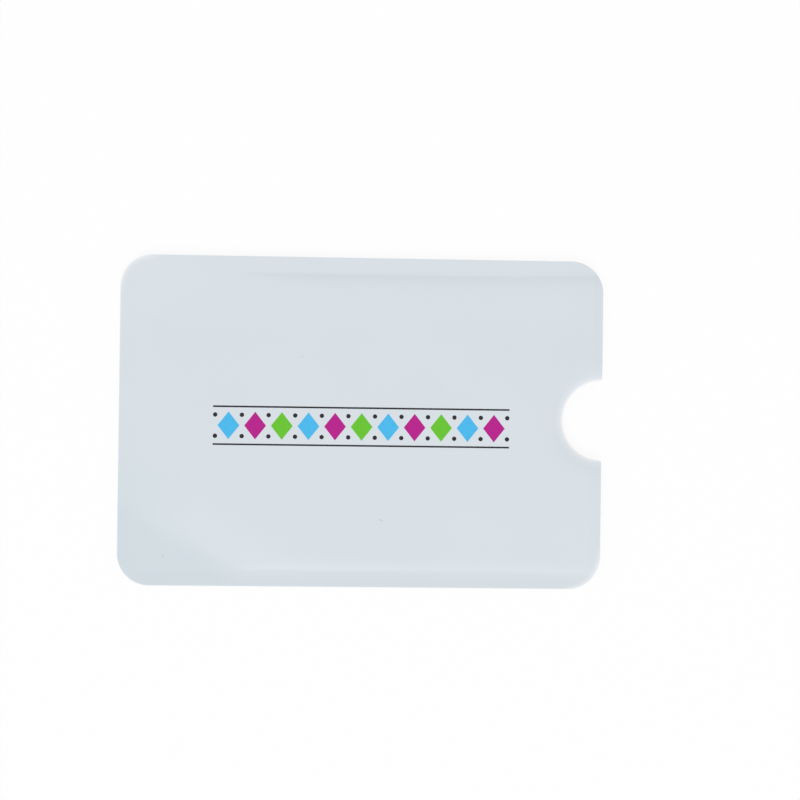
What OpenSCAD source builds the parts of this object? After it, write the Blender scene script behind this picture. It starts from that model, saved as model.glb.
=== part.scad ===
// Card sleeve of foil-lined paper, lying on its back. x runs from the closed end to the
// mouth, y to the upper long edge and z out of the front face. Two laminated panels are
// sealed along three edges and die-cut together, and the back one is pressed to the card.

/* [Card] */
// Length of the card that the pocket takes
card_length = 85.6; // [80:0.1:90]
// Width of the card
card_width = 53.98; // [50:0.02:58]
// Thickness of the card
card_thickness = 0.76; // [0.6:0.02:1]
// Radius of the card's corners
card_corner_r = 3.18; // [2:0.02:4]

/* [Pocket] */
// Room between the card and the foot of each pocket wall
edge_room = 0.41; // [0.05:0.01:0.6]
// Room over the card's face
face_room = 0.1; // [0.04:0.02:0.3]
// How far the card's outer end stays behind the mouth
card_inset = 1.19; // [0.5:0.01:3]
// How far each pocket wall leans out from its foot to the seal
wall_run = 0.6; // [0.4:0.05:1.6]

/* [Seals] */
// Width of the seal along each long edge
side_seal_w = 3; // [2:0.1:5]
// Width of the seal across the closed end
end_seal_w = 3.2; // [2:0.1:6]

/* [Laminate] */
// Thickness of the clear gloss film on the outside
film_t = 0.03; // [0.02:0.005:0.06]
// Thickness of the paper
paper_t = 0.15; // [0.1:0.01:0.3]
// Thickness of the aluminium foil
foil_t = 0.02; // [0.01:0.005:0.04]
// Thickness of the plastic liner that the card slides on
liner_t = 0.04; // [0.02:0.005:0.08]
// Thickness of the seal between the two liners
seal_t = 0.03; // [0.01:0.005:0.06]

/* [Outline] */
// Radius of the sleeve's four corners
corner_r = 6; // [3:0.5:10]
// Radius of the thumb notch
notch_r = 7.5; // [5:0.1:11]
// How far the thumb notch sits above the middle of the mouth
notch_shift = 0.9; // [0:0.1:3]
// Radius of the two tips where the notch meets the mouth
notch_tip_r = 0.5; // [0.2:0.1:1.5]

/* [Swell of the front panel] */
// Height that the front panel gains at the crease beside each long seal
crease_rise = 0.25; // [0.1:0.01:0.5]
// Distance in which most of the crease's height is gained
crease_run = 2; // [1:0.1:4]
// Further height that the front panel gains up to its middle
crown_rise = 0.2; // [0.05:0.01:0.5]
// Distance from the end seal in which the panel leaves the plane of the seals
end_run = 12; // [6:0.5:20]
// Length of the flat corner beside the end seal, along the long edge
flat_corner_l = 19.5; // [10:0.5:25]
// Width of the flat corner, along the end seal
flat_corner_w = 10; // [5:0.5:14]
// Distance from the flat corner's slanted edge to where the crease is at full height
flat_corner_run = 6; // [3:0.5:12]

/* [Hidden] */
$fn = 96;

// The laminate's layers, by their distances out from the pocket's face
foil_at = liner_t;
paper_at = foil_at + foil_t;
film_at = paper_at + paper_t;
panel_t = film_at + film_t;

// The pocket's floor, which the card lies on
floor_half_w = card_width / 2 + edge_room;
floor_corner_r = card_corner_r + edge_room;
pocket_half_w = floor_half_w + wall_run;
sleeve_w = 2 * (pocket_half_w + side_seal_w);
sleeve_l = end_seal_w + wall_run + edge_room + card_length + card_inset;
end_seal_x = end_seal_w - sleeve_l / 2;
corner_x = end_seal_x + wall_run + floor_corner_r;
corner_y = floor_half_w - floor_corner_r;
mouth_x = sleeve_l / 2;

// The back panel is pressed down by the card's thickness, less what the seal holds open
press_depth = card_thickness + face_room - seal_t;
wall_lean = atan(press_depth / wall_run);
back_seal_z = panel_t + press_depth;
front_seal_z = back_seal_z + seal_t;

// Rounds a length to a micrometre, so that faces drawn from different corners still meet.
function micron(v) = round(v * 1000) / 1000;

// Spare material past a cut, and how deep shapes are rooted in the slab that they rise from
spare = 1;
root = 0.05;
swell_steps = 8;

// Outline that the die cuts through every layer at once.
module die_outline() {
    tip_y = sqrt(notch_r * notch_r + 2 * notch_r * notch_tip_r);
    difference() {
        union() {
            square([sleeve_l - 2 * corner_r, sleeve_w], center = true);
            square([sleeve_l, sleeve_w - 2 * corner_r], center = true);
            for (sx = [-1, 1], sy = [-1, 1])
                translate([sx * (mouth_x - corner_r), sy * (sleeve_w / 2 - corner_r)])
                    circle(corner_r);
        }
        translate([mouth_x, notch_shift]) {
            circle(notch_r);
            for (side = [-1, 1])
                difference() {
                    polygon([[0, 0], [0, side * tip_y], [-notch_tip_r, side * tip_y]]);
                    translate([-notch_tip_r, side * tip_y]) circle(notch_tip_r);
                }
        }
    }
}

// Outline of the pocket in the plane of the seals, open past the mouth.
module pocket_outline() {
    r = floor_corner_r + wall_run;
    translate([corner_x, -pocket_half_w])
        square([sleeve_l, 2 * pocket_half_w]);
    translate([end_seal_x, -corner_y])
        square([r, 2 * corner_y]);
    for (side = [-1, 1])
        translate([corner_x, side * corner_y]) circle(r);
}

// Everything above a layer's face of the back panel, a distance out from the pocket's floor.
module above_back(out) {
    foot_r = floor_corner_r + micron(out * tan(wall_lean / 2));
    foot_z = panel_t - out;
    seal_z = back_seal_z - out;
    top_r = foot_r + micron(wall_run * (1 + spare / press_depth));
    wall = [[0, foot_z], [foot_r, foot_z], [top_r, seal_z + spare], [0, seal_z + spare]];
    across = [
        [corner_y + foot_r, foot_z], [corner_y + top_r, seal_z + spare],
        [-corner_y - top_r, seal_z + spare], [-corner_y - foot_r, foot_z]
    ];
    translate([-sleeve_l, -sleeve_w, seal_z])
        cube([2 * sleeve_l, 2 * sleeve_w, spare]);
    translate([corner_x, 0, 0]) {
        rotate([90, 0, 90]) linear_extrude(sleeve_l) polygon(across);
        translate([0, -corner_y, 0])
            rotate([90, 0, 180]) linear_extrude(2 * corner_y) polygon(wall);
        for (side = [0, 1])
            mirror([0, side, 0]) translate([0, corner_y, 0])
                rotate([0, 0, 90]) rotate_extrude(angle = 90) polygon(wall);
    }
}

// Height gained across the sleeve, a distance in from the seal along a long edge.
function rise_across(d) =
    crease_rise * (1 - exp(-d / crease_run))
    + crown_rise * d * (2 * pocket_half_w - d) / (pocket_half_w * pocket_half_w);

// Height gained along the sleeve, a distance in from the end seal.
function rise_along(d) = 1.2 * (crease_rise + crown_rise) * (1 - exp(-d / end_run));

// Steps that lie close together where a rise begins.
function step(i) = i * i / (swell_steps * swell_steps);

// Everything below a layer's face of the front panel, a distance out from the pocket's roof.
module below_front(out) {
    seal_z = front_seal_z + out;
    side_slope = rise_across(pocket_half_w * step(1)) / (pocket_half_w * step(1));
    end_slope = rise_along(sleeve_l * step(1)) / (sleeve_l * step(1));
    corner_slope = crease_rise / flat_corner_run;
    half_across = [
        for (i = [0 : swell_steps])
            let (d = pocket_half_w * step(i)) [pocket_half_w - d, rise_across(d)]
    ];
    across = concat(
        [[pocket_half_w + root / side_slope, -root]],
        half_across,
        [for (i = [swell_steps - 1 : -1 : 0]) [-half_across[i][0], half_across[i][1]]],
        [[-pocket_half_w - root / side_slope, -root]]
    );
    along = concat(
        [[-root / end_slope, -root]],
        [for (i = [0 : swell_steps]) [sleeve_l * step(i), rise_along(sleeve_l * step(i))]],
        [[sleeve_l, -root]]
    );
    translate([-sleeve_l, -sleeve_w, seal_z - spare])
        cube([2 * sleeve_l, 2 * sleeve_w, spare]);
    translate([0, 0, seal_z])
        intersection() {
            translate([-sleeve_l, 0, 0])
                rotate([90, 0, 90]) linear_extrude(2 * sleeve_l) polygon(across);
            translate([end_seal_x, sleeve_w, 0])
                rotate([90, 0, 0]) linear_extrude(2 * sleeve_w) polygon(along);
            for_flat_corner(0, corner_slope);
            for_flat_corner(1, corner_slope);
        }
}

// Half-space that rises from a flat corner's slanted edge, on the upper or the lower side.
module for_flat_corner(side, slope) {
    reach = 2 * sleeve_l;
    turn = -atan(flat_corner_l / flat_corner_w);
    wedge = [[-root / slope, -root], [reach, slope * reach], [reach, -root]];
    mirror([0, side, 0])
        translate([end_seal_x, pocket_half_w - flat_corner_w, 0])
            rotate([0, 0, turn]) translate([0, reach, 0])
                rotate([90, 0, 0]) linear_extrude(2 * reach) polygon(wedge);
}

// A layer of the back panel, between two distances out from the pocket's floor.
module back_layer(near, far) {
    intersection() {
        difference() {
            above_back(far);
            above_back(near);
        }
        linear_extrude(back_seal_z + spare) die_outline();
    }
}

// A layer of the front panel, between two distances out from the pocket's roof.
module front_layer(near, far) {
    intersection() {
        difference() {
            below_front(far);
            below_front(near);
        }
        linear_extrude(front_seal_z + panel_t + spare) die_outline();
    }
}

// The part of the seals that lies inside a rectangle from one corner to another.
module seal_strip(low, high) {
    translate([0, 0, back_seal_z])
        linear_extrude(seal_t)
            intersection() {
                difference() {
                    die_outline();
                    pocket_outline();
                }
                translate(low) square(high - low);
            }
}

module front_film() { color("#d8e0e6") front_layer(film_at, panel_t); }
module front_paper() { color("#f3f4f2") front_layer(paper_at, film_at); }
module front_foil() { color("#b9bcc0") front_layer(foil_at, paper_at); }
module front_liner() { color("#cfd3d6") front_layer(0, foil_at); }

module upper_seal() {
    color("#c3c8cc") seal_strip([corner_x, 0], [mouth_x, sleeve_w / 2]);
}

module lower_seal() {
    color("#c3c8cc") seal_strip([corner_x, -sleeve_w / 2], [mouth_x, 0]);
}

module end_seal() {
    color("#c3c8cc") seal_strip([-sleeve_l / 2, -sleeve_w / 2], [corner_x, sleeve_w / 2]);
}

module back_liner() { color("#cfd3d6") back_layer(0, foil_at); }
module back_foil() { color("#b9bcc0") back_layer(foil_at, paper_at); }
module back_paper() { color("#f3f4f2") back_layer(paper_at, film_at); }
module back_film() { color("#d8e0e6") back_layer(film_at, panel_t); }

front_film();
front_paper();
front_foil();
front_liner();
upper_seal();
lower_seal();
end_seal();
back_liner();
back_foil();
back_paper();
back_film();
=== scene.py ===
"""Looks of a card sleeve of foil-lined paper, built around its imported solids.

Each layer of the two laminated panels is a smooth closed sheet over one shared blank, so
that the cut edges show film, paper, foil, liner and seal in their true order. Lengths are
in millimetres until a mesh is made, and the frame is the part's own: x runs to the mouth,
y to the upper long edge and z out of the printed front face.
"""

import logging
import math
from abc import ABC, abstractmethod
from dataclasses import dataclass, field
from enum import Enum
from functools import cached_property
from typing import ClassVar

import bpy
import numpy as np
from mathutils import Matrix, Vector, geometry


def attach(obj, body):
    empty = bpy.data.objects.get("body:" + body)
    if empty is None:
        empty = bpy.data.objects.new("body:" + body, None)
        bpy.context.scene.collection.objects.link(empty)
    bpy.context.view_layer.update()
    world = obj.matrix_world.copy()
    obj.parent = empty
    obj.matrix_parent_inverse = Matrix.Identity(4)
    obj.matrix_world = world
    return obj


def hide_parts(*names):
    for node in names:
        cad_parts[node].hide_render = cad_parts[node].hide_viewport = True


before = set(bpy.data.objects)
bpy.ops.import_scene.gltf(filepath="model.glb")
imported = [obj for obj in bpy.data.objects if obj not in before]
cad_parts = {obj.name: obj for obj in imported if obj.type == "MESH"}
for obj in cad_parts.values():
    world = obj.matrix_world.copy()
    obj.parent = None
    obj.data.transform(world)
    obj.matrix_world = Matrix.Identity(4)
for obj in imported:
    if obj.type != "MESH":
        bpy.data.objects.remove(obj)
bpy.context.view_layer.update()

log = logging.getLogger("card_sleeve")

MM = 0.001
BODY = "root"
WHITE = (1.0, 1.0, 1.0, 1.0)
NOISE_MIDDLE = 0.5

Colour = tuple[float, float, float]
Triple = tuple[float, float, float]
Point = tuple[float, float]
Span = tuple[float, float]
Socket = bpy.types.NodeSocket


@dataclass(frozen=True)
class Field:
    """A number that a node tree works out everywhere, written with Python's own signs."""

    socket: Socket

    def work_out(self, operation: str, *values: "Field | float") -> "Field":
        """Adds a Math node to the tree.

        Args:
            operation: What the node does.
            values: What it takes, fields or plain numbers.

        Returns:
            Its result.
        """
        wiring = Wiring(self.socket.id_data)
        return Field(wiring.add("ShaderNodeMath", dict(enumerate(values)),
                                operation=operation).outputs[0])

    def __add__(self, other: "Field | float") -> "Field":
        """Sum."""
        return self.work_out("ADD", self, other)

    def __sub__(self, other: "Field | float") -> "Field":
        """Difference."""
        return self.work_out("SUBTRACT", self, other)

    def __rsub__(self, other: float) -> "Field":
        """Difference from a plain number."""
        return self.work_out("SUBTRACT", other, self)

    def __mul__(self, other: "Field | float") -> "Field":
        """Product."""
        return self.work_out("MULTIPLY", self, other)

    __radd__ = __add__
    __rmul__ = __mul__

    def __truediv__(self, other: "Field | float") -> "Field":
        """Quotient."""
        return self.work_out("DIVIDE", self, other)

    def __pow__(self, power: float) -> "Field":
        """Power of a number that isn't less than nought."""
        return self.work_out("POWER", self, power)

    def __neg__(self) -> "Field":
        """The same size with the other sign."""
        return self * -1.0

    def __abs__(self) -> "Field":
        """Distance from zero."""
        return self.work_out("ABSOLUTE", self)

    def exp(self) -> "Field":
        """Natural exponential."""
        return self.work_out("EXPONENT", self)

    def diagonal(self, other: "Field") -> "Field":
        """Length of the diagonal of a rectangle with these two sides."""
        return self.work_out("SQRT", self * self + other * other)

    def at_least(self, other: "Field | float") -> "Field":
        """The larger of two."""
        return self.work_out("MAXIMUM", self, other)

    def at_most(self, other: "Field | float") -> "Field":
        """The smaller of two."""
        return self.work_out("MINIMUM", self, other)

    def softly_at_least(self, other: "Field | float", bend: "Field") -> "Field":
        """The larger of two, with a bend of that length where they cross."""
        return self.work_out("SMOOTH_MAX", self, other, bend)

    def softly_at_most(self, other: "Field | float", bend: "Field") -> "Field":
        """The smaller of two, with a bend of that length where they cross."""
        return self.work_out("SMOOTH_MIN", self, other, bend)

    def over(self, other: float) -> "Field":
        """One where this is greater than the number, and nought elsewhere."""
        return self.work_out("GREATER_THAN", self, other)

    def unit(self) -> "Field":
        """Held between nought and one."""
        return self.at_least(0.0).at_most(1.0)

    def eased(self, low: float, high: float) -> "Field":
        """Nought up to low, one past high, with a smooth step between."""
        t = ((self - low) / (high - low)).unit()
        return t * t * (3.0 - 2.0 * t)

    def fading(self, low: float, high: float) -> "Field":
        """One up to low, nought past high, with a smooth step between."""
        return 1.0 - self.eased(low, high)


class Wiring:
    """A node tree that is being built.

    The place node is the kind of node, and its output, that give the place on the part.
    """

    place_node: ClassVar[tuple[str, str]]

    def __init__(self, tree: bpy.types.NodeTree) -> None:
        """Takes the tree that the nodes go into."""
        self.tree = tree

    def add(self, kind: str, inputs: dict[int | str, object] | None = None,
            **settings: object) -> bpy.types.Node:
        """Adds a node.

        Args:
            kind: The node's type.
            inputs: What goes into its inputs, by their names or numbers. Fields and sockets
                are linked, and anything else is set.
            settings: Its properties by name.

        Returns:
            The node.
        """
        node = self.tree.nodes.new(kind)
        for name, value in settings.items():
            setattr(node, name, value)
        for name, value in (inputs or {}).items():
            source = value.socket if isinstance(value, Field) else value
            if isinstance(source, Socket):
                self.tree.links.new(source, node.inputs[name])
            else:
                node.inputs[name].default_value = source
        return node

    @cached_property
    def place(self) -> Socket:
        """The place on the part, in metres."""
        kind, output = self.place_node
        return self.add(kind).outputs[output]

    @cached_property
    def spot(self) -> tuple[Field, Field, Field]:
        """Takes the place on the part apart.

        Returns:
            Its x, y and z, in millimetres.
        """
        scale = self.add("ShaderNodeVectorMath", {0: self.place, "Scale": 1 / MM},
                         operation="SCALE")
        parts = self.add("ShaderNodeSeparateXYZ", {0: scale.outputs[0]})
        return tuple(Field(out) for out in parts.outputs[:3])


@dataclass(frozen=True)
class SleeveSizes:
    """The sizes that the solids were drawn with, in millimetres."""

    card_length: float = 85.6
    card_width: float = 53.98
    card_thickness: float = 0.76
    card_corner_r: float = 3.18
    edge_room: float = 0.41
    face_room: float = 0.1
    card_inset: float = 1.19
    wall_run: float = 0.6
    side_seal_w: float = 3.0
    end_seal_w: float = 3.2
    film_t: float = 0.03
    paper_t: float = 0.15
    foil_t: float = 0.02
    liner_t: float = 0.04
    seal_t: float = 0.03
    corner_r: float = 6.0
    notch_r: float = 7.5
    notch_shift: float = 0.9
    notch_tip_r: float = 0.5
    crease_rise: float = 0.25
    crown_rise: float = 0.2
    end_run: float = 12.0
    end_rise_ratio: float = 1.2
    flat_corner_l: float = 19.5
    flat_corner_w: float = 10.0
    flat_corner_run: float = 6.0

    @property
    def foil_at(self) -> float:
        """Distance of the foil out from the pocket's face."""
        return self.liner_t

    @property
    def paper_at(self) -> float:
        """Distance of the paper out from the pocket's face."""
        return self.foil_at + self.foil_t

    @property
    def film_at(self) -> float:
        """Distance of the film out from the pocket's face."""
        return self.paper_at + self.paper_t

    @property
    def panel_t(self) -> float:
        """Thickness of one panel."""
        return self.film_at + self.film_t

    @property
    def floor_half_w(self) -> float:
        """Half the width of the pocket's floor."""
        return self.card_width / 2 + self.edge_room

    @property
    def floor_corner_r(self) -> float:
        """Radius of the floor's corners."""
        return self.card_corner_r + self.edge_room

    @property
    def pocket_half_w(self) -> float:
        """Half the width of the pocket in the plane of the seals."""
        return self.floor_half_w + self.wall_run

    @property
    def width(self) -> float:
        """Width of the sleeve."""
        return 2 * (self.pocket_half_w + self.side_seal_w)

    @property
    def length(self) -> float:
        """Length of the sleeve."""
        return (self.end_seal_w + self.wall_run + self.edge_room
                + self.card_length + self.card_inset)

    @property
    def mouth_x(self) -> float:
        """Where the mouth's edge lies."""
        return self.length / 2

    @property
    def end_seal_x(self) -> float:
        """Where the end seal meets the pocket."""
        return self.end_seal_w - self.length / 2

    @property
    def corner_x(self) -> float:
        """Centre of the pocket's corners along the sleeve."""
        return self.end_seal_x + self.wall_run + self.floor_corner_r

    @property
    def corner_y(self) -> float:
        """Centre of the pocket's corners across the sleeve."""
        return self.floor_half_w - self.floor_corner_r

    @property
    def press_depth(self) -> float:
        """How deep the back panel is pressed."""
        return self.card_thickness + self.face_room - self.seal_t

    @property
    def back_seal_z(self) -> float:
        """Height of the back panel's face at the seals."""
        return self.panel_t + self.press_depth

    @property
    def front_seal_z(self) -> float:
        """Height of the front panel's inner face at the seals."""
        return self.back_seal_z + self.seal_t


@dataclass(frozen=True)
class HandlingMarks:
    """What wear and sealing leave on the sheets, in millimetres."""

    upper_crease_run: float = 1.15
    upper_crease_share: float = 0.98
    lower_crease_run: float = 1.2
    lower_crease_share: float = 0.86
    lower_share_lost: float = 0.4
    crease_round: float = 1.4
    crease_bend: float = 0.015
    valley_bend: float = 0.12
    mouth_flare: float = 0.45
    mouth_flare_span: Span = (26.0, 43.0)
    seal_curl: float = 0.1
    lower_seal_curl: float = 0.2
    notch_roll: float = 0.25
    notch_roll_width: float = 3.9
    film_roll: float = 0.018
    film_roll_width: float = 0.3
    wave_height: float = 0.03
    wave_length: float = 22.0
    wall_bend: float = 0.5
    seed: float = 4.0


SIZES = SleeveSizes()
MARKS = HandlingMarks()


class Region(Enum):
    """Which stretch of the blank a sheet covers: all of it, or one seal by its name."""

    WHOLE = "whole"
    UPPER_SEAL = "upper_seal"
    LOWER_SEAL = "lower_seal"
    END_SEAL = "end_seal"


def arc(centre: Point, radius: float, start: float, end: float, step: float) -> list[Point]:
    """Points along an arc, both ends included.

    Args:
        centre: The arc's centre.
        radius: Its radius.
        start: The angle it starts at, in degrees.
        end: The angle it ends at, in degrees, lower than start where it runs clockwise.
        step: The longest distance between two points.

    Returns:
        The points in order.
    """
    fewest_steps = 4
    turn = math.radians(end - start)
    count = max(fewest_steps, math.ceil(abs(turn) * radius / step))
    angles = (math.radians(start) + turn * i / count for i in range(count + 1))
    return [(centre[0] + radius * math.cos(a), centre[1] + radius * math.sin(a)) for a in angles]


def stretch(corners: list[Point], step: float) -> list[Point]:
    """Points along straight runs from corner to corner, both ends included.

    Args:
        corners: The corners in order.
        step: The longest distance between two points.

    Returns:
        The points in order.
    """
    points = [corners[0]]
    for (x0, y0), (x1, y1) in zip(corners, corners[1:]):
        count = max(1, math.ceil(math.hypot(x1 - x0, y1 - y0) / step))
        points += [(x0 + (x1 - x0) * i / count, y0 + (y1 - y0) * i / count)
                   for i in range(1, count + 1)]
    return points


@dataclass
class Blank:
    """The flat die-cut sheet that every layer starts from, with rows of points at each bend.

    Rim rows run inside the cut edge, and wall and crease rows round the pocket's floor,
    outside its edge or, where they are less than nought, inside it.
    """

    sizes: SleeveSizes = SIZES
    arc_step: float = 0.22
    edge_step: float = 0.6
    grid_step: float = 1.2
    seam_step: float = 10.0
    rim_rows: tuple[float, ...] = (0.08, 0.18, 0.3)
    wall_rows: tuple[float, ...] = (-0.45, -0.3, -0.15, 0.0, 0.15, 0.3, 0.45, 0.75, 0.9, 1.1,
                                    1.8, 2.6)
    crease_rows: tuple[float, ...] = (-0.8, -1.2, -1.7, -2.3, -3.0, -3.8)
    mouth_gap: float = 0.25
    rim_gap: float = 0.35
    crease_gap: float = 0.4
    wall_gap: float = 0.3
    least_corner_r: float = 0.4
    least_gap: float = 1e-6
    weld: float = 1e-4
    points: np.ndarray = field(init=False)
    faces: list[tuple[int, ...]] = field(init=False)

    def __post_init__(self) -> None:
        """Lays the points out and joins them into triangles."""
        s = self.sizes
        outline = self.outline(0.0)
        seam = self.pocket_row(s.wall_run, s.mouth_x)
        cuts = [[(s.corner_x, side * s.pocket_half_w), (s.corner_x, side * s.width / 2)]
                for side in (1, -1)]
        lines = [stretch(seam, self.seam_step), *(stretch(c, self.edge_step) for c in cuts)]
        loose = [p for inset in self.rim_rows for p in self.outline(inset)]
        near = s.mouth_x - self.rim_rows[-1] - self.mouth_gap
        for row in self.wall_rows + self.crease_rows:
            loose += self.pocket_row(row, near)
        loose += self.grid()
        rim = self.rim(np.array(loose))
        loose = [p for p, gap in zip(loose, rim) if gap > self.rim_rows[0] / 2]
        points, edges = list(outline), []
        for line in lines:
            first = len(points)
            points += line
            edges += [(first + i, first + i + 1) for i in range(len(line) - 1)]
        points += loose
        inside_only = 1
        found = geometry.delaunay_2d_cdt([Vector(p) for p in points], edges,
                                         [list(range(len(outline)))], inside_only, self.weld)
        self.points = np.array([tuple(p) for p in found[0]])
        self.faces = [tuple(f) for f in found[2]]

    def outline(self, inset: float) -> list[Point]:
        """The sleeve's outline against the clock, or a line parallel to it inside.

        Args:
            inset: How far inside the outline the line runs.

        Returns:
            The points of the closed line, the last one not repeated.
        """
        s = self.sizes
        x, y = s.length / 2 - inset, s.width / 2 - inset
        r, tip_r, notch_r = s.corner_r - inset, s.notch_tip_r - inset, s.notch_r + inset
        tip_x = s.mouth_x - s.notch_tip_r
        tip_y = math.sqrt((s.notch_r + s.notch_tip_r) ** 2 - s.notch_tip_r ** 2)
        lean = math.degrees(math.asin(s.notch_tip_r / (s.notch_r + s.notch_tip_r)))
        cx, cy = s.length / 2 - s.corner_r, s.width / 2 - s.corner_r
        a, e = self.arc_step, self.edge_step
        runs = [
            stretch([(x, s.notch_shift + tip_y), (x, cy)], e),
            arc((cx, cy), r, 0, 90, a),
            stretch([(cx, y), (s.corner_x, y), (-cx, y)], e),
            arc((-cx, cy), r, 90, 180, a),
            stretch([(-x, cy), (-x, -cy)], e),
            arc((-cx, -cy), r, 180, 270, a),
            stretch([(-cx, -y), (s.corner_x, -y), (cx, -y)], e),
            arc((cx, -cy), r, 270, 360, a),
            stretch([(x, -cy), (x, s.notch_shift - tip_y)], e),
            arc((tip_x, s.notch_shift - tip_y), tip_r, 0, 90 + lean, a),
            arc((s.mouth_x, s.notch_shift), notch_r, 270 - lean, 90 + lean, a),
            arc((tip_x, s.notch_shift + tip_y), tip_r, 270 - lean, 360, a),
        ]
        points: list[Point] = []
        for run in runs:
            for p in run:
                if not points or math.dist(p, points[-1]) > self.least_gap:
                    points.append(p)
        while math.dist(points[0], points[-1]) < self.least_gap:
            points.pop()
        return points

    def pocket_row(self, out: float, end_x: float) -> list[Point]:
        """A row of points round the pocket, from the mouth to the closed end and back.

        Args:
            out: How far outside the floor's edge the row runs, less than nought inside.
            end_x: Where its two ends lie along the sleeve.

        Returns:
            The points in order.
        """
        s = self.sizes
        r, half_w = s.floor_corner_r + out, s.floor_half_w + out
        if r < self.least_corner_r:
            x = s.corner_x - r
            return stretch([(end_x, half_w), (x, half_w), (x, -half_w), (end_x, -half_w)],
                           self.edge_step)
        rows = (
            stretch([(end_x, half_w), (s.corner_x, half_w)], self.edge_step),
            arc((s.corner_x, s.corner_y), r, 90, 180, self.arc_step)[1:],
            stretch([(s.corner_x - r, s.corner_y), (s.corner_x - r, -s.corner_y)],
                    self.edge_step)[1:],
            arc((s.corner_x, -s.corner_y), r, 180, 270, self.arc_step)[1:],
            stretch([(s.corner_x, -half_w), (end_x, -half_w)], self.edge_step)[1:],
        )
        return [p for row in rows for p in row]

    def grid(self) -> list[Point]:
        """Staggered points over the open stretches, clear of the rows at the bends.

        Returns:
            The points.
        """
        s = self.sizes
        xs = np.arange(-s.length / 2, s.length / 2, self.grid_step)
        ys = np.arange(-s.width / 2, s.width / 2, self.grid_step)
        x, y = (a.ravel() for a in np.meshgrid(xs, ys))
        x = x + (np.round(y / self.grid_step) % 2) * self.grid_step / 2
        points = np.column_stack([x, y])
        out = self.out_of_floor(points)
        clear = self.rim(points) > self.rim_rows[-1] + self.rim_gap
        clear &= ((out < self.crease_rows[-1] - self.crease_gap)
                  | (out > self.wall_rows[-1] + self.wall_gap))
        return [tuple(p) for p in points[clear]]

    def out_of_floor(self, points: np.ndarray) -> np.ndarray:
        """Distance outside the edge of the pocket's floor.

        Args:
            points: The places to measure at.

        Returns:
            The distance of each, less than nought inside the edge.
        """
        s = self.sizes
        dx = s.corner_x - points[:, 0]
        dy = np.abs(points[:, 1]) - s.corner_y
        beyond = np.hypot(np.maximum(dx, 0), np.maximum(dy, 0))
        return beyond + np.minimum(np.maximum(dx, dy), 0) - s.floor_corner_r

    def rim(self, points: np.ndarray) -> np.ndarray:
        """Distance inside the cut edge.

        Args:
            points: The places to measure at.

        Returns:
            The distance of each, less than nought outside the edge.
        """
        s = self.sizes
        dx = np.abs(points[:, 0]) - (s.length / 2 - s.corner_r)
        dy = np.abs(points[:, 1]) - (s.width / 2 - s.corner_r)
        corner = np.hypot(np.maximum(dx, 0), np.maximum(dy, 0))
        box = s.corner_r - corner - np.minimum(np.maximum(dx, dy), 0)
        notch = np.hypot(points[:, 0] - s.mouth_x, points[:, 1] - s.notch_shift) - s.notch_r
        return np.minimum(box, notch)

    def mesh(self, region: Region = Region.WHOLE) -> bpy.types.Mesh:
        """The blank, or the part of it in one seal, as a flat mesh in metres.

        Args:
            region: The stretch to keep.

        Returns:
            The mesh, which faces up.
        """
        s = self.sizes
        middles = np.array([self.points[list(f)].mean(axis=0) for f in self.faces])
        in_seal = self.out_of_floor(middles) > s.wall_run
        past_corner = middles[:, 0] > s.corner_x
        keep = {
            Region.WHOLE: np.ones(len(middles), bool),
            Region.UPPER_SEAL: in_seal & past_corner & (middles[:, 1] > 0),
            Region.LOWER_SEAL: in_seal & past_corner & (middles[:, 1] < 0),
            Region.END_SEAL: in_seal & ~past_corner,
        }[region]
        faces = [f for f, kept in zip(self.faces, keep) if kept]
        used = sorted({v for f in faces for v in f})
        place = {v: i for i, v in enumerate(used)}
        mesh = bpy.data.meshes.new("blank")
        mesh.from_pydata([(x * MM, y * MM, 0.0) for x, y in self.points[used]], [],
                         [tuple(place[v] for v in f) for f in faces])
        mesh.update()
        return mesh


def stand(name: str, data: bpy.types.ID) -> bpy.types.Object:
    """Puts a mesh, a lamp or a camera into the scene.

    Args:
        name: The new object's name.
        data: What it shows.

    Returns:
        The object, at the origin.
    """
    thing = bpy.data.objects.new(name, data)
    bpy.context.scene.collection.objects.link(thing)
    return thing


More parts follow.
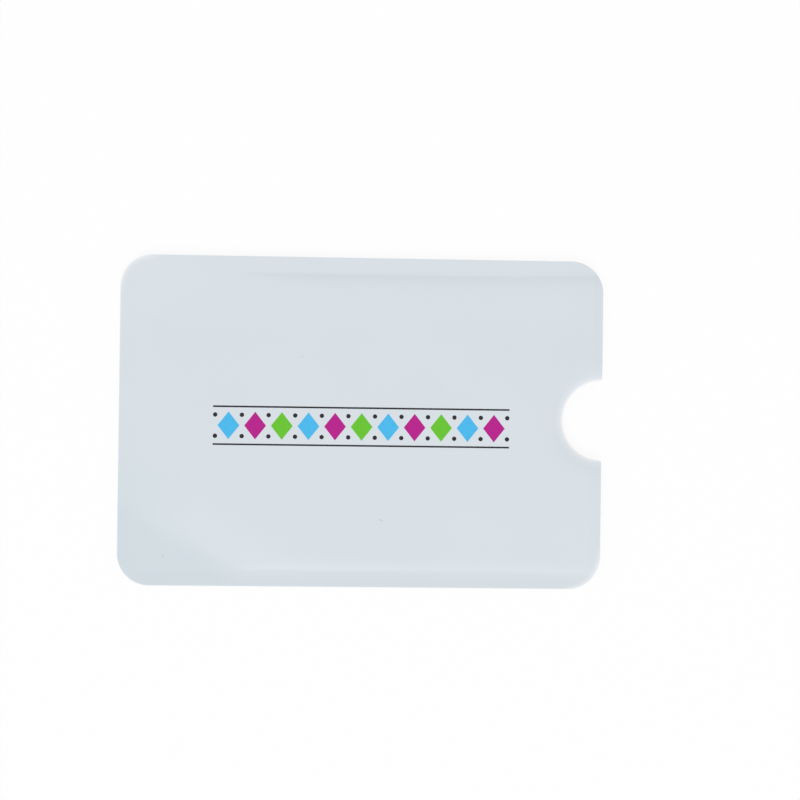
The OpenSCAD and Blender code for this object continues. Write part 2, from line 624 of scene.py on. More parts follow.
class TreeMaker(Wiring):
    """A geometry node tree with named sizes, which ends as a closed slab with a material.

    Edges that are bent by more than sharp_angle degrees are drawn sharp.
    """

    place_node = ("GeometryNodeInputPosition", "Position")
    slab_t: ClassVar[float] = 1.0
    weld: ClassVar[float] = 0.005
    sharp_angle: ClassVar[float] = 40.0

    def __init__(self, name: str) -> None:
        """Starts the tree.

        Args:
            name: The name of the tree and of the piece that it makes.
        """
        super().__init__(bpy.data.node_groups.new(name, "GeometryNodeTree"))
        for way in ("INPUT", "OUTPUT"):
            self.tree.interface.new_socket(
                "Geometry", in_out=way, socket_type="NodeSocketGeometry")
        self.name = name
        self.entry = self.add("NodeGroupInput")
        self.values: dict[str, float] = {}

    def size(self, name: str, value: float) -> Field:
        """Adds a named input, or finds the one that has the name.

        Args:
            name: What the input is called.
            value: What the modifier sets it to.

        Returns:
            The input as a field.
        """
        if name not in self.entry.outputs:
            kind = "NodeSocketInt" if isinstance(value, int) else "NodeSocketFloat"
            socket = self.tree.interface.new_socket(name, in_out="INPUT", socket_type=kind)
            self.values[socket.identifier] = value
        return Field(self.entry.outputs[name])

    def sizes(self, source: SleeveSizes | HandlingMarks, *names: str) -> list[Field]:
        """Adds an input for each of these sizes, with the size's own name."""
        return [self.size(n.replace("_", " ").capitalize(), getattr(source, n)) for n in names]

    def slab(self, flat: Socket, low: Field, high: Field) -> Socket:
        """Closes flat faces into a slab between two heights.

        Args:
            flat: The faces, which face up.
            low: Height of the slab's lower face, in millimetres.
            high: Height of its upper face, in millimetres.

        Returns:
            The slab in place.
        """
        raised = self.add("GeometryNodeExtrudeMesh", {
            "Mesh": flat, "Individual": False, "Offset": (0.0, 0.0, self.slab_t),
            "Offset Scale": MM}, mode="FACES")
        under = self.add("GeometryNodeFlipFaces", {"Mesh": flat})
        join = self.add("GeometryNodeJoinGeometry", {0: raised.outputs["Mesh"]})
        self.tree.links.new(under.outputs[0], join.inputs[0])
        closed = self.add("GeometryNodeMergeByDistance", {
            0: join.outputs[0], "Distance": self.weld * MM})
        x, y, z = self.spot
        height = low + (high - low) * z.over(self.slab_t / 2)
        target = self.add("ShaderNodeCombineXYZ", {0: x * MM, 1: y * MM, 2: height * MM})
        return self.add("GeometryNodeSetPosition", {
            "Geometry": closed.outputs[0], "Position": target.outputs[0]}).outputs[0]

    def piece(self, start: bpy.types.Mesh, shape: Socket,
              material: bpy.types.Material) -> bpy.types.Object:
        """Ends the tree, runs it on a mesh and keeps the result as a plain mesh.

        Args:
            start: The mesh that the tree is given.
            shape: The finished shape.
            material: The piece's material.

        Returns:
            The finished piece, linked to the scene.
        """
        real = self.add("GeometryNodeRealizeInstances", {0: shape})
        dress = self.add("GeometryNodeSetMaterial", {0: real.outputs[0], "Material": material})
        self.add("NodeGroupOutput", {0: dress.outputs[0]})
        maker = stand(self.name + "_maker", start)
        modifier = maker.modifiers.new("tree", "NODES")
        modifier.node_group = self.tree
        for identifier, value in self.values.items():
            modifier[identifier] = value
        bpy.context.view_layer.update()
        graph = bpy.context.evaluated_depsgraph_get()
        mesh = bpy.data.meshes.new_from_object(maker.evaluated_get(graph))
        maker.modifiers.clear()
        bpy.data.objects.remove(maker)
        mesh.name = self.name
        mesh.materials.clear()
        mesh.materials.append(material)
        mesh.polygons.foreach_set("use_smooth", [True] * len(mesh.polygons))
        mesh.set_sharp_from_angle(angle=math.radians(self.sharp_angle))
        return stand(self.name, mesh)


@dataclass(frozen=True)
class PanelShape:
    """The rules that both panels' heights and the wear of their edges follow."""

    sizes: SleeveSizes = SIZES
    marks: HandlingMarks = MARKS

    def from_notch(self, tree: Wiring) -> Field:
        """Distance outside the thumb notch's edge."""
        x, y, _ = tree.spot
        return (x - self.sizes.mouth_x).diagonal(y - self.sizes.notch_shift) - self.sizes.notch_r

    def rim(self, tree: Wiring) -> Field:
        """Distance inside the cut edge.

        Args:
            tree: The tree that asks.

        Returns:
            The distance, less than nought outside the edge.
        """
        s = self.sizes
        x, y, _ = tree.spot
        dx = abs(x) - (s.length / 2 - s.corner_r)
        dy = abs(y) - (s.width / 2 - s.corner_r)
        corner = dx.at_least(0.0).diagonal(dy.at_least(0.0))
        box = s.corner_r - corner - dx.at_least(dy).at_most(0.0)
        return box.at_most(self.from_notch(tree))

    def curl(self, maker: TreeMaker) -> Field:
        """How far the sealed bands lift towards their outer edges.

        Args:
            maker: The sheet's tree.

        Returns:
            The lift.
        """
        s = self.sizes
        x, y, _ = maker.spot
        width = maker.size("Side seal width", s.side_seal_w)
        lift, lower_lift = maker.sizes(self.marks, "seal_curl", "lower_seal_curl")
        lower = y.fading(-s.pocket_half_w, -s.corner_y)
        beyond = (abs(y) - s.pocket_half_w).at_least(s.end_seal_x - x).at_least(0.0)
        share = (beyond / width).unit()
        return (lift + (lower_lift - lift) * lower) * share * share

    def front(self, maker: TreeMaker) -> Field:
        """Height that the front panel gains over the plane of the seals.

        Args:
            maker: The sheet's tree.

        Returns:
            The height.
        """
        s, m = self.sizes, self.marks
        x, y, _ = maker.spot
        half_w = maker.size("Pocket half width", s.pocket_half_w)
        crease, crown, end_run, corner_run = maker.sizes(
            s, "crease_rise", "crown_rise", "end_run", "flat_corner_run")
        upper_run, upper_share, lower_run, lower_share, lost = maker.sizes(
            m, "upper_crease_run", "upper_crease_share", "lower_crease_run",
            "lower_crease_share", "lower_share_lost")
        crease_bend, valley_bend, flare, roll_depth, roll_w = maker.sizes(
            m, "crease_bend", "valley_bend", "mouth_flare", "notch_roll", "notch_roll_width")
        inward = half_w + flare * x.eased(*m.mouth_flare_span) - abs(y)
        bow = crown * inward * (2.0 * half_w - inward) / (half_w * half_w)
        inside = inward.at_least(0.0)
        from_end = x - s.end_seal_x
        towards_mouth = (from_end / s.length).unit()
        upper = crease * upper_share * self.step_up(inside, upper_run)
        lower = crease * (lower_share - lost * towards_mouth) * self.step_up(inside, lower_run)
        quarter_w = s.width / 4
        side = y.eased(-quarter_w, quarter_w)
        across = upper * side + lower * (1.0 - side) + bow
        along = s.end_rise_ratio * (crease + crown) * (1.0 - (-(from_end / end_run)).exp())
        reach = math.hypot(s.flat_corner_l, s.flat_corner_w)
        to_x, to_y = s.flat_corner_w / reach, s.flat_corner_l / reach
        start_y = s.pocket_half_w - s.flat_corner_w
        corner = (from_end * to_x - (abs(y) - start_y) * to_y) * crease / corner_run
        shape = across.softly_at_most(along, valley_bend).softly_at_most(corner, valley_bend)
        rise = shape.softly_at_least(0.0, crease_bend)
        open_share = (rise / crease).unit()
        roll = (1.0 - self.from_notch(maker) / roll_w).unit()
        roll = roll * roll * roll_depth
        return rise + self.wave(maker) * open_share - roll * open_share + self.curl(maker)

    def step_up(self, inside: Field, run: Field) -> Field:
        """A rounded step from nought to one, most of it gained within the run."""
        return 1.0 - (-((inside / run) ** self.marks.crease_round)).exp()

    def wave(self, maker: TreeMaker) -> Field:
        """The faint waves of a thin sheet that nothing holds flat.

        Args:
            maker: The sheet's tree.

        Returns:
            The waves' height, the same for every layer.
        """
        seed, height = maker.sizes(self.marks, "seed", "wave_height")
        flat = maker.add("ShaderNodeVectorMath", {0: maker.place, 1: (1.0, 1.0, 0.0)},
                         operation="MULTIPLY")
        noise = maker.add("ShaderNodeTexNoise", {
            "Vector": flat.outputs[0], "W": seed, "Detail": 0.0,
            "Scale": 1 / (self.marks.wave_length * MM)}, noise_dimensions="4D")
        return (Field(noise.outputs[0]) - NOISE_MIDDLE) * 2.0 * height

    def back(self, maker: TreeMaker, out: Field) -> Field:
        """Height of a face of the back panel.

        Args:
            maker: The sheet's tree.
            out: Distance of the face out from the pocket's floor.

        Returns:
            The height.
        """
        s = self.sizes
        x, y, _ = maker.spot
        run, depth = maker.sizes(s, "wall_run", "press_depth")
        floor_z = maker.size("Floor height", s.panel_t)
        bend = maker.size("Wall bend", self.marks.wall_bend)
        dx = (s.corner_x - x).at_least(0.0)
        dy = (abs(y) - s.corner_y).at_least(0.0)
        beyond = dx.diagonal(dy) - s.floor_corner_r
        lean = math.tan(math.atan(s.press_depth / s.wall_run) / 2)
        share = (beyond - out * lean) / run
        share = share.softly_at_least(0.0, bend).softly_at_most(1.0, bend)
        return floor_z - out + depth * share + self.curl(maker)


SHAPE = PanelShape()


@dataclass(frozen=True)
class Grain:
    """A noise, by its grains' length in millimetres; flatten draws them out along an axis."""

    length: float
    detail: float = 2.0
    flatten: Triple = (1.0, 1.0, 1.0)
    shift: float = 0.0


class Paint(Wiring):
    """The node tree of a material or of the world."""

    place_node = ("ShaderNodeTexCoord", "Object")

    def __init__(self, owner: bpy.types.Material | bpy.types.World) -> None:
        """Starts with an empty tree.

        Args:
            owner: What the tree belongs to.
        """
        owner.use_nodes = True
        owner.node_tree.nodes.clear()
        super().__init__(owner.node_tree)
        self.noises: dict[Grain, Field] = {}

    def noise(self, grain: Grain) -> Field:
        """Adds a noise over the part, or finds the one that has these grains.

        Args:
            grain: Its grains.

        Returns:
            The noise.
        """
        if grain not in self.noises:
            mapping = self.add("ShaderNodeMapping", {
                "Vector": self.place, "Scale": grain.flatten,
                "Location": (grain.shift, grain.shift, 0.0)})
            node = self.add("ShaderNodeTexNoise", {
                "Vector": mapping.outputs[0], "Scale": 1 / (grain.length * MM),
                "Detail": grain.detail})
            self.noises[grain] = Field(node.outputs[0])
        return self.noises[grain]

    def mix(self, base: Socket | Colour, other: Colour, share: Field) -> Socket:
        """Mixes two colours.

        Args:
            base: The first colour.
            other: The second colour.
            share: How much of the second one shows.

        Returns:
            The mixed colour.
        """
        share_in, base_in, other_in, mixed_out = 0, 6, 7, 2
        node = self.add("ShaderNodeMix", {
            share_in: share, base_in: (*base, 1.0) if isinstance(base, tuple) else base,
            other_in: (*other, 1.0)}, data_type="RGBA")
        return node.outputs[mixed_out]


@dataclass(frozen=True)
class Finish:
    """Two tones that a noise mixes, a roughness that wavers and a fine relief.

    The grain gives the noise of the tones, and also that of the roughness and the relief
    unless they have their own. The levels sharpen it. Each of the bumps is a noise with its
    share in the relief, and depth is the relief's in millimetres.
    """

    name: str
    base: Colour
    other: Colour
    grain: Grain = Grain(0.5)
    levels: Span | None = None
    share: float = 1.0
    roughness: float = 0.3
    waver: float = 0.1
    rough_grain: Grain | None = None
    bumps: tuple[tuple[Grain, float], ...] = ()
    depth: float = 0.004
    ior: float = 1.5
    specular: float = 0.5
    metallic: float = 0.0
    coat: float = 0.0
    coat_roughness: float = 0.03

    def tone(self, paint: Paint) -> Socket:
        """Mixes the colour.

        Args:
            paint: The material's tree.

        Returns:
            The colour.
        """
        mottle = paint.noise(self.grain)
        if self.levels:
            mottle = mottle.eased(*self.levels)
        return paint.mix(self.base, self.other, mottle * self.share)

    def material(self) -> bpy.types.Material:
        """Builds the material.

        Returns:
            The material.
        """
        material = bpy.data.materials.new(self.name)
        paint = Paint(material)
        waver = self.waver * paint.noise(self.rough_grain or self.grain)
        bumps = self.bumps or ((self.grain, 1.0),)
        height = sum(paint.noise(grain) * share for grain, share in bumps)
        relief = paint.add("ShaderNodeBump", {"Distance": self.depth * MM, "Height": height})
        shader = paint.add("ShaderNodeBsdfPrincipled", {
            "Base Color": self.tone(paint),
            "Roughness": self.roughness + waver,
            "Normal": relief.outputs[0],
            "IOR": self.ior,
            "Specular IOR Level": self.specular,
            "Metallic": self.metallic,
            "Coat Weight": self.coat,
            "Coat Roughness": self.coat_roughness,
        })
        paint.add("ShaderNodeOutputMaterial", {"Surface": shader.outputs[0]})
        return material


@dataclass(frozen=True)
class PaperFinish(Finish):
    """Coated white paper, with its fibres at the cut edge."""

    name: str = "paper_white"
    base: Colour = (0.87, 0.885, 0.87)
    other: Colour = (0.76, 0.77, 0.75)
    grain: Grain = Grain(0.18, 3.0, (0.4, 0.4, 2.5))
    levels: Span = (0.45, 0.75)
    share: float = 0.6
    roughness: float = 0.82
    depth: float = 0.012
    specular: float = 0.3


@dataclass(frozen=True)
class FoilFinish(Finish):
    """The dull side of thin aluminium foil."""

    name: str = "foil_dull"
    base: Colour = (0.76, 0.77, 0.79)
    other: Colour = (0.62, 0.63, 0.65)
    grain: Grain = Grain(0.35, flatten=(0.08, 1.0, 1.0))
    share: float = 0.5
    waver: float = 0.2
    depth: float = 0.003
    metallic: float = 1.0


ROLLING_MARKS = Grain(0.5, flatten=(0.06, 1.0, 1.0))
SCUFFS = Grain(5.0, 3.0)


@dataclass(frozen=True)
class LinerFinish(Finish):
    """Clear plastic over foil, satin and scuffed, with the foil's rolling marks under it."""

    name: str = "liner_satin"
    base: Colour = (0.8, 0.81, 0.83)
    other: Colour = (0.7, 0.71, 0.73)
    grain: Grain = ROLLING_MARKS
    share: float = 0.6
    roughness: float = 0.32
    waver: float = 0.22
    rough_grain: Grain = SCUFFS
    bumps: tuple[tuple[Grain, float], ...] = ((ROLLING_MARKS, 1.0), (SCUFFS, 0.5))
    metallic: float = 0.7
    coat: float = 0.4
    coat_roughness: float = 0.25


@dataclass(frozen=True)
class SealFinish(Finish):
    """The two liners fused to each other by heat, milky in places."""

    name: str = "seal_fused"
    base: Colour = (0.6, 0.62, 0.64)
    other: Colour = (0.74, 0.76, 0.77)
    grain: Grain = Grain(0.8)
    levels: Span = (0.4, 0.7)
    roughness: float = 0.45
    waver: float = 0.15


@dataclass(frozen=True)
class InkFinish(Finish):
    """Printing ink under the film's gloss, with the paper's faint mottle."""

    levels: Span = (0.35, 0.75)
    share: float = 0.5
    waver: float = 0.08
    bumps: tuple[tuple[Grain, float], ...] = ((Grain(0.25, 1.0), 1.0),)
    depth: float = 0.0015
    ior: float = 1.46
    specular: float = 0.3


@dataclass(frozen=True)
class Patch:
    """A stretch of another tone, with soft sides.

    Each side that it has is a pair: left and bottom give where it begins and where it is
    full, right and top where it starts to fade and where it is gone.
    """

    tone: Colour
    share: float
    left: Span | None = None
    right: Span | None = None
    bottom: Span | None = None
    top: Span | None = None

    def mask(self, paint: Paint) -> Field:
        """Works out how much of the patch's tone shows.

        Args:
            paint: The material's tree.

        Returns:
            The share of its tone.
        """
        x, y, _ = paint.spot
        mask: Field | float = self.share
        for value, rise, fall in ((x, self.left, self.right), (y, self.bottom, self.top)):
            if rise:
                mask = mask * value.eased(*rise)
            if fall:
                mask = mask * value.fading(*fall)
        return mask


@dataclass(frozen=True)
class Fleck:
    """A small dark fleck in the print, tilted by an angle in degrees."""

    x: float
    y: float
    half_l: float
    half_w: float
    share: float
    tilt: float = 0.0
    fade: Span = (0.5, 1.2)
    tone: Colour = (0.36, 0.38, 0.4)

    def mask(self, paint: Paint) -> Field:
        """Works out how much of the fleck's tone shows.

        Args:
            paint: The material's tree.

        Returns:
            The share of its tone.
        """
        x, y, _ = paint.spot
        turn = math.radians(self.tilt)
        dx, dy = x - self.x, y - self.y
        along = (dx * math.cos(turn) + dy * math.sin(turn)) / self.half_l
        across = (dy * math.cos(turn) - dx * math.sin(turn)) / self.half_w
        return abs(along).at_least(abs(across)).fading(*self.fade) * self.share


PALE_TONE: Colour = (0.705, 0.764, 0.81)
# darker tone, used for the film's random dusk and for the painted shade along the mouth's edge
DUSK_AND_SHADE_TONE: Colour = (0.672, 0.732, 0.787)
# darker, greener tone of the closed end's lower part
DARKER_END_TONE: Colour = (0.636, 0.712, 0.758)


@dataclass(frozen=True)
class DarkerEndCorner:
    """The darker, greener lower corner of the closed end, with a slanted and ragged border."""

    x: float = -42.5
    y: float = -17.0
    to_x: float = 0.534
    to_y: float = 0.845
    fade: Span = (-3.4, 3.4)
    grain: Grain = Grain(9.0, 3.0)
    ragged: float = 5.5
    top: Span = (-13.0, -7.0)
    edge: Span = (-31.0, -28.5)
    edge_share: float = 0.3
    tone: Colour = DARKER_END_TONE

    def mask(self, paint: Paint) -> Field:
        """Works out how much of the corner's darker tone shows.

        Args:
            paint: The material's tree.

        Returns:
            The share of its tone.
        """
        x, y, _ = paint.spot
        slant = (x - self.x) * self.to_x + (y - self.y) * self.to_y
        border = slant + (paint.noise(self.grain) - NOISE_MIDDLE) * self.ragged
        corner = border.fading(*self.fade) * y.fading(*self.top)
        return corner * (self.edge_share + (1.0 - self.edge_share) * y.eased(*self.edge))


@dataclass(frozen=True)
class PaintedEdgeHighlight:
    """Painted highlight: the print painted paler along the cut, round the notch and at two
    corners.

    Each stretch is full at the start of its span and gone at the end of it.
    """

    cut: Span = (0.0, 0.14)
    cut_share: float = 0.5
    notch_lip: Span = (0.2, 0.42)
    notch_lip_share: float = 0.9
    notch_halo: Span = (0.3, 1.6)
    notch_halo_share: float = 0.36
    corner_x: Span = (37.0, 41.5)
    corner_y: Span = (22.5, 27.0)
    corner_lip: Span = (0.0, 0.7)
    corner_lip_share: float = 0.95
    corner_halo: Span = (0.0, 1.2)
    corner_halo_share: float = 0.55
    tone: Colour = (0.86, 0.88, 0.9)

    def mask(self, paint: Paint) -> Field:
        """Works out how much of the painted highlight's tone shows.

        Args:
            paint: The material's tree.

        Returns:
            The share of its tone.
        """
        x, y, _ = paint.spot
        gap, off = SHAPE.rim(paint), SHAPE.from_notch(paint)
        cut = gap.fading(*self.cut) * self.cut_share
        notch = (off.fading(*self.notch_lip) * self.notch_lip_share
                 + off.fading(*self.notch_halo) * self.notch_halo_share)
        upper_left_or_lower_right = (-(x * y)).over(0.0)
        corners = (abs(x).eased(*self.corner_x) * abs(y).eased(*self.corner_y)
                   * upper_left_or_lower_right)
        lip = gap.fading(*self.corner_lip) * self.corner_lip_share
        halo = gap.fading(*self.corner_halo) * self.corner_halo_share
        return cut.at_least(notch).at_least(corners * halo.at_least(lip)).unit()


FRONT_MARKS = (
    Patch(PALE_TONE, 0.45, bottom=(14.0, 22.0), top=(27.0, 30.0)),
    Patch(PALE_TONE, 0.6, right=(-16.0, -4.0), bottom=(14.0, 22.0), top=(27.5, 31.5)),
    # darker towards the closed end's lower part
    Patch(DARKER_END_TONE, 0.38, right=(-41.0, -26.0), top=(-14.0, 10.0)),
    # painted shade: a darker strip along the mouth's edge
    Patch(DUSK_AND_SHADE_TONE, 0.6, left=(43.2, 44.2)),
    DarkerEndCorner(),
    Fleck(-11.38, 12.25, 0.38, 0.12, 0.18),
    Fleck(3.88, -18.37, 0.52, 0.11, 0.4, tilt=-22.0),
    Fleck(-36.93, -25.58, 0.16, 0.28, 0.28),
)


@dataclass(frozen=True)
class FilmFinish(Finish):
    """Clear gloss film over cool white print, with a wider dusk, the listed marks and a painted
    highlight at its edges.
    """

    base: Colour = (0.686, 0.745, 0.791)
    other: Colour = PALE_TONE
    grain: Grain = Grain(16.0, 1.5)
    levels: Span = (0.42, 0.62)
    share: float = 0.3
    waver: float = 0.08
    rough_grain: Grain = Grain(3.0, 3.0)
    bumps: tuple[tuple[Grain, float], ...] = ((Grain(0.6), 1.0), (Grain(0.14, 1.0), 0.4))
    depth: float = 0.002
    ior: float = 1.46
    dusk_grain: Grain = Grain(34.0, 0.0, shift=0.07)
    dusk_levels: Span = (0.45, 0.7)
    dusk_share: float = 0.35
    marks: tuple[Patch | DarkerEndCorner | Fleck, ...] = ()
    # painted highlight along the cut edges, round the notch and at two corners
    painted_edge_highlight: PaintedEdgeHighlight = PaintedEdgeHighlight()

    def tone(self, paint: Paint) -> Socket:
        """Mixes the colour and lays the marks over it.

        Args:
            paint: The material's tree.

        Returns:
            The colour.
        """
        dusk = paint.noise(self.dusk_grain).eased(*self.dusk_levels) * self.dusk_share
        colour = paint.mix(super().tone(paint), DUSK_AND_SHADE_TONE, dusk)
        for mark in (*self.marks, self.painted_edge_highlight):
            colour = paint.mix(colour, mark.tone, mark.mask(paint))
        return colour


def settle(piece: bpy.types.Object, slot: str, *nodes: str) -> None:
    """Puts a finished piece on the part's body and reports it.

    Args:
        piece: The piece, in place.
        slot: The record's material slot meant for it; not used.
        nodes: The solids that it stands for.
    """
    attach(piece, BODY)
    if nodes:
        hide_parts(*nodes)
    heights = [v.co.z / MM for v in piece.data.vertices]
    log.info("%s: %d faces, z %.3f to %.3f mm", piece.name, len(piece.data.polygons),
             min(heights), max(heights))


@dataclass(frozen=True)
class Layer:
    """One layer of a panel, between two distances out from the pocket's face."""

    name: str
    slot: str
    near: float
    far: float
    material: bpy.types.Material

    def faces(self, maker: TreeMaker) -> tuple[Field, Field]:
        """Adds the two distances to the layer's tree."""
        return maker.size("Near face", self.near), maker.size("Far face", self.far)


@dataclass
class Panel(ABC):
    """A panel of four layers: film, paper, foil and liner."""

    side: ClassVar[str]
    blank: Blank
    film: bpy.types.Material
    paper: bpy.types.Material
    foil: bpy.types.Material
    liner: bpy.types.Material
    sizes: SleeveSizes = SIZES
    shape: PanelShape = SHAPE

    def layers(self) -> list[Layer]:
        """Lists the panel's layers.

        Returns:
            The layers from the pocket outwards.
        """
        s = self.sizes
        return [
            Layer("liner", "liner", 0.0, s.foil_at, self.liner),
            Layer("foil", "foil", s.foil_at, s.paper_at, self.foil),
            Layer("paper", "white_paper", s.paper_at, s.film_at, self.paper),
            Layer("film", "gloss_film", s.film_at, s.panel_t, self.film),
        ]

    @abstractmethod
    def heights(self, maker: TreeMaker, layer: Layer) -> tuple[Field, Field]:
        """Heights of a layer's lower and upper faces."""

    def build(self) -> None:
        """Builds the panel and puts it on the part."""
        for layer in self.layers():
            node = f"{self.side}_{layer.name}"
            maker = TreeMaker(node + "_sheet")
            slab = maker.slab(maker.entry.outputs["Geometry"], *self.heights(maker, layer))
            settle(maker.piece(self.blank.mesh(), slab, layer.material), layer.slot, node)


class FrontPanel(Panel):
    """The front panel, which swells over the pocket."""

    side = "front"

    def heights(self, maker: TreeMaker, layer: Layer) -> tuple[Field, Field]:
        """Works out where a layer lies, and rolls the film's cut edge down.

        Args:
            maker: The layer's tree.
            layer: The layer.

        Returns:
            The heights of its lower and its upper face.
        """
        base = maker.size("Seal plane height", self.sizes.front_seal_z)
        near, far = layer.faces(maker)
        rise = self.shape.front(maker)
        top = base + far + rise
        if layer.name == "film":
            depth, width = maker.sizes(MARKS, "film_roll", "film_roll_width")
            roll = (1.0 - self.shape.rim(maker) / width).unit()
            top = top - roll * roll * depth
        return base + near + rise, top


class BackPanel(Panel):
    """The back panel, pressed to the depth of a card."""

    side = "back"

    def heights(self, maker: TreeMaker, layer: Layer) -> tuple[Field, Field]:
        """Heights of a layer's lower and upper faces, of which the far one is the lower."""
        near, far = (self.shape.back(maker, face) for face in layer.faces(maker))
        return far, near


@dataclass
class Seals:
    """The three fused bands between the panels."""

    blank: Blank
    material: bpy.types.Material
    sizes: SleeveSizes = SIZES
    shape: PanelShape = SHAPE

    def build(self) -> None:
        """Builds the bands and puts them on the part."""
        for region in (Region.UPPER_SEAL, Region.LOWER_SEAL, Region.END_SEAL):
            maker = TreeMaker(region.value + "_band")
            low = maker.size("Lower face", self.sizes.back_seal_z)
            high = maker.size("Upper face", self.sizes.front_seal_z)
            curl = self.shape.curl(maker)
            slab = maker.slab(maker.entry.outputs["Geometry"], low + curl, high + curl)
            band = maker.piece(self.blank.mesh(region), slab, self.material)
            settle(band, "seal", region.value)


class Motif(Enum):
    """The printed figures, by how many sides each has and how often its faces are halved."""

    LOZENGE = (4, 2)
    DOT = (20, 0)


@dataclass
class PrintedBand:
    """A border of lozenges between two rules, printed across the middle of the front."""

    middle_y: float = -0.85
    count: int = 11
    pitch: float = 5.0
    lozenge_half_l: float = 2.05
    lozenge_half_h: float = 2.6
    dot_r: float = 0.42
    dot_rise: float = 2.0
    rule_rise: float = 3.55
    rule_w: float = 0.32
    rule_points: int = 141
    ink_t: float = 0.006
    sunk_share: float = 0.5
    lozenge_inks: tuple[InkFinish, ...] = (
        InkFinish("ink_cyan", (0.07, 0.5, 0.86), (0.05, 0.44, 0.8)),
        InkFinish("ink_magenta", (0.48, 0.007, 0.262), (0.42, 0.005, 0.22)),
        InkFinish("ink_green", (0.141, 0.56, 0.026), (0.12, 0.49, 0.02)),
    )
    dark_ink: InkFinish = InkFinish("ink_dark", (0.013, 0.013, 0.018), (0.02, 0.02, 0.024))
    sizes: SleeveSizes = SIZES
    shape: PanelShape = SHAPE

    def lay(self, maker: TreeMaker, flat: Socket, ink: bpy.types.Material) -> None:
        """Lays flat figures on the film and gives them the ink's thickness.

        Args:
            maker: The figures' tree.
            flat: The figures, which face up.
            ink: The ink.
        """
        s = self.sizes
        top = maker.size("Film height", s.front_seal_z + s.panel_t) + self.shape.front(maker)
        thick = maker.size("Ink thickness", self.ink_t)
        slab = maker.slab(flat, top - self.sunk_share * thick, top + thick)
        settle(maker.piece(bpy.data.meshes.new("empty"), slab, ink), "gloss_film")

    def row(self, name: str, motif: Motif, half_size: Point, first: Point, pitch: float,
            count: int, ink: bpy.types.Material) -> None:
        """Prints a row of one figure in one ink.

        Args:
            name: The piece's name.
            motif: The figure.
            half_size: Half of each figure's length and of its height.
            first: Where the first figure's middle lies.
            pitch: Distance from one figure to the next.
            count: How many figures there are.
            ink: The ink.
        """
        sides, halvings = motif.value
        maker = TreeMaker(name)
        line = maker.add("GeometryNodeMeshLine", {
            "Start Location": (first[0] * MM, first[1] * MM, 0.0),
            "Offset": (pitch * MM, 0.0, 0.0), "Count": maker.size("Count", count)},
            mode="OFFSET")
        figure = maker.add("GeometryNodeMeshCircle", {"Vertices": sides, "Radius": 1.0},
                           fill_type="TRIANGLE_FAN")
        finer = maker.add("GeometryNodeSubdivideMesh", {
            "Mesh": figure.outputs["Mesh"], "Level": halvings})
        size = maker.add("ShaderNodeCombineXYZ", {
            0: maker.size("Half length", half_size[0]) * MM,
            1: maker.size("Half height", half_size[1]) * MM})
        spread = maker.add("GeometryNodeInstanceOnPoints", {
            "Points": line.outputs[0], "Instance": finer.outputs[0], "Scale": size.outputs[0]})
        real = maker.add("GeometryNodeRealizeInstances", {0: spread.outputs[0]})
        self.lay(maker, real.outputs[0], ink)

    def rule(self, name: str, y: float, ink: bpy.types.Material) -> None:
        """Prints one thin line along the band.

        Args:
            name: The piece's name.
            y: Where the line lies across the sleeve.
            ink: The ink.
        """
        maker = TreeMaker(name)
        half_l = self.count * self.pitch / 2 + self.dot_r
        strip = maker.add("GeometryNodeMeshGrid", {
            "Size X": 2 * half_l * MM, "Size Y": self.rule_w * MM,
            "Vertices X": self.rule_points, "Vertices Y": 2})
        shift = maker.add("GeometryNodeTransform", {
            "Geometry": strip.outputs["Mesh"], "Translation": (0.0, y * MM, 0.0)})
        self.lay(maker, shift.outputs[0], ink)

    def build(self) -> None:
        """Prints the band and puts it on the part."""
        first_x = -(self.count - 1) * self.pitch / 2
        step = len(self.lozenge_inks)
        for i, ink in enumerate(self.lozenge_inks):
            self.row(ink.name.replace("ink", "print") + "_lozenges", Motif.LOZENGE,
                     (self.lozenge_half_l, self.lozenge_half_h),
                     (first_x + i * self.pitch, self.middle_y), step * self.pitch,
                     len(range(i, self.count, step)), ink.material())
        dark = self.dark_ink.material()
        ways = (("upper", 1), ("lower", -1))
        for word, way in ways:
            self.row(f"print_{word}_dots", Motif.DOT, (self.dot_r, self.dot_r),
                     (first_x - self.pitch / 2, self.middle_y + way * self.dot_rise),
                     self.pitch, self.count + 1, dark)
        for word, way in ways:
            self.rule(f"print_{word}_rule", self.middle_y + way * self.rule_rise, dark)


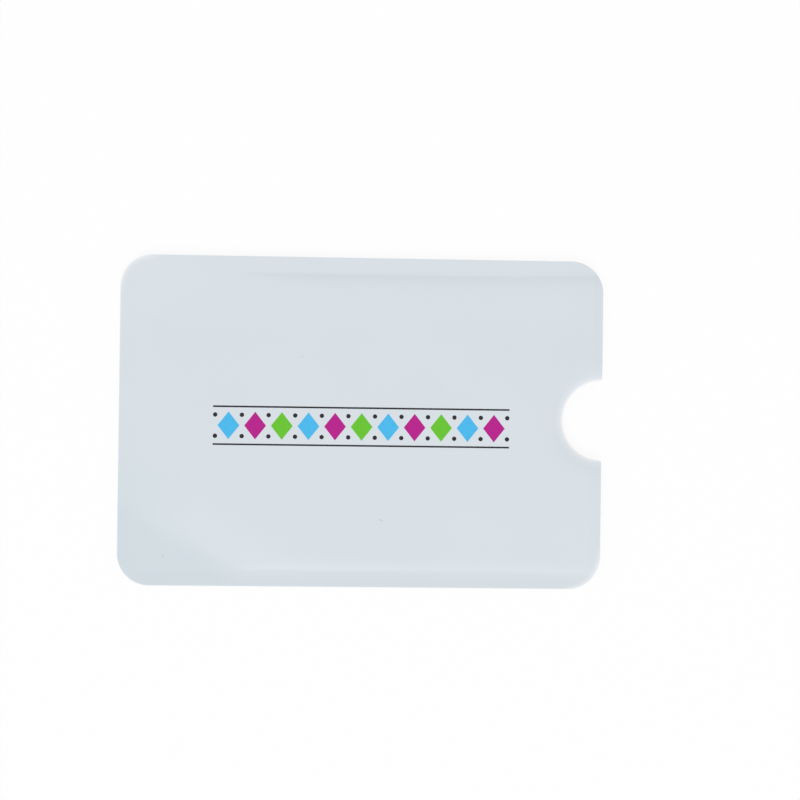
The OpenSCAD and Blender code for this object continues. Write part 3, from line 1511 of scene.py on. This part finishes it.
@dataclass
class Studio:
    """A plain pale floor, a soft lamp and the camera over the sleeve.

    Places are in metres, turns in degrees and the lens in millimetres.
    """

    floor_half: float = 3.0
    floor_drop: float = 0.00002
    floor_tone: float = 0.93
    floor_glow: float = 0.92
    sky: float = 0.64
    key_watts: float = 29.0
    key_from: Triple = (-0.35, -1.55, 1.8)
    key_size: float = 1.4
    camera_at: Triple = (-0.02016, 0.0007, 0.45071)
    camera_turn: Triple = (0.416, -3.489, 0.744)
    camera_near: float = 0.01
    lens: float = 107.47
    sensor_w: float = 36.0

    def seen(self, paint: Paint) -> Field:
        """Tells the rays that show the background from those that light.

        Args:
            paint: The tree that asks.

        Returns:
            One for the rays that show it, and nought for the others.
        """
        path = paint.add("ShaderNodeLightPath")
        camera, glossy, through = (Field(path.outputs[name]) for name in (
            "Is Camera Ray", "Is Glossy Ray", "Is Transmission Ray"))
        return camera.at_least(glossy).at_least(through)

    def world(self) -> None:
        """Lights the scene evenly from all round, with a white background."""
        world = bpy.data.worlds.new("studio")
        bpy.context.scene.world = world
        paint = Paint(world)
        strength = self.sky + (1.0 - self.sky) * self.seen(paint)
        light = paint.add("ShaderNodeBackground", {"Color": WHITE, "Strength": strength})
        paint.add("ShaderNodeOutputWorld", {"Surface": light.outputs[0]})

    def floor(self) -> None:
        """Lays the floor, which stays white to the camera and keeps a soft shadow."""
        h = self.floor_half
        mesh = bpy.data.meshes.new("floor")
        mesh.from_pydata([(-h, -h, 0), (h, -h, 0), (h, h, 0), (-h, h, 0)], [], [(0, 1, 2, 3)])
        floor = stand("floor", mesh)
        floor.location.z = -self.floor_drop
        material = bpy.data.materials.new("floor_pale")
        paint = Paint(material)
        matt = paint.add("ShaderNodeBsdfDiffuse", {"Color": (self.floor_tone,) * 3 + (1.0,)})
        glow = paint.add("ShaderNodeEmission", {"Color": WHITE})
        mix = paint.add("ShaderNodeMixShader", {
            0: self.seen(paint) * self.floor_glow, 1: matt.outputs[0], 2: glow.outputs[0]})
        paint.add("ShaderNodeOutputMaterial", {"Surface": mix.outputs[0]})
        mesh.materials.append(material)

    def key_lamp(self) -> None:
        """Hangs the soft lamp, turned to the sleeve."""
        data = bpy.data.lights.new("key", "AREA")
        data.energy = self.key_watts
        data.shape = "SQUARE"
        data.size = self.key_size
        lamp = stand("key", data)
        lamp.location = self.key_from
        lamp.rotation_euler = (-Vector(self.key_from)).to_track_quat("-Z", "Y").to_euler()

    def camera(self) -> None:
        """Sets the camera up."""
        data = bpy.data.cameras.new("camera")
        data.lens = self.lens
        data.sensor_width = self.sensor_w
        data.clip_start = self.camera_near
        camera = stand("camera", data)
        camera.location = self.camera_at
        camera.rotation_euler = tuple(math.radians(a) for a in self.camera_turn)
        bpy.context.scene.camera = camera

    def build(self) -> None:
        """Sets the whole studio up."""
        bpy.context.scene.view_settings.view_transform = "Standard"
        self.world()
        self.floor()
        self.key_lamp()
        self.camera()


def main() -> None:
    """Sets the studio up, then builds the sleeve's pieces in order."""
    logging.basicConfig(level=logging.INFO, format="%(name)s: %(message)s")
    Studio().build()
    blank = Blank()
    log.info("blank: %d points, %d faces", len(blank.points), len(blank.faces))
    paper, foil = PaperFinish().material(), FoilFinish().material()
    liner, seal = LinerFinish().material(), SealFinish().material()
    front_film = FilmFinish("film_front", marks=FRONT_MARKS).material()
    back_film = FilmFinish("film_back").material()
    FrontPanel(blank, front_film, paper, foil, liner).build()
    Seals(blank, seal).build()
    BackPanel(blank, back_film, paper, foil, liner).build()
    PrintedBand().build()


if __name__ == "__main__":
    main()
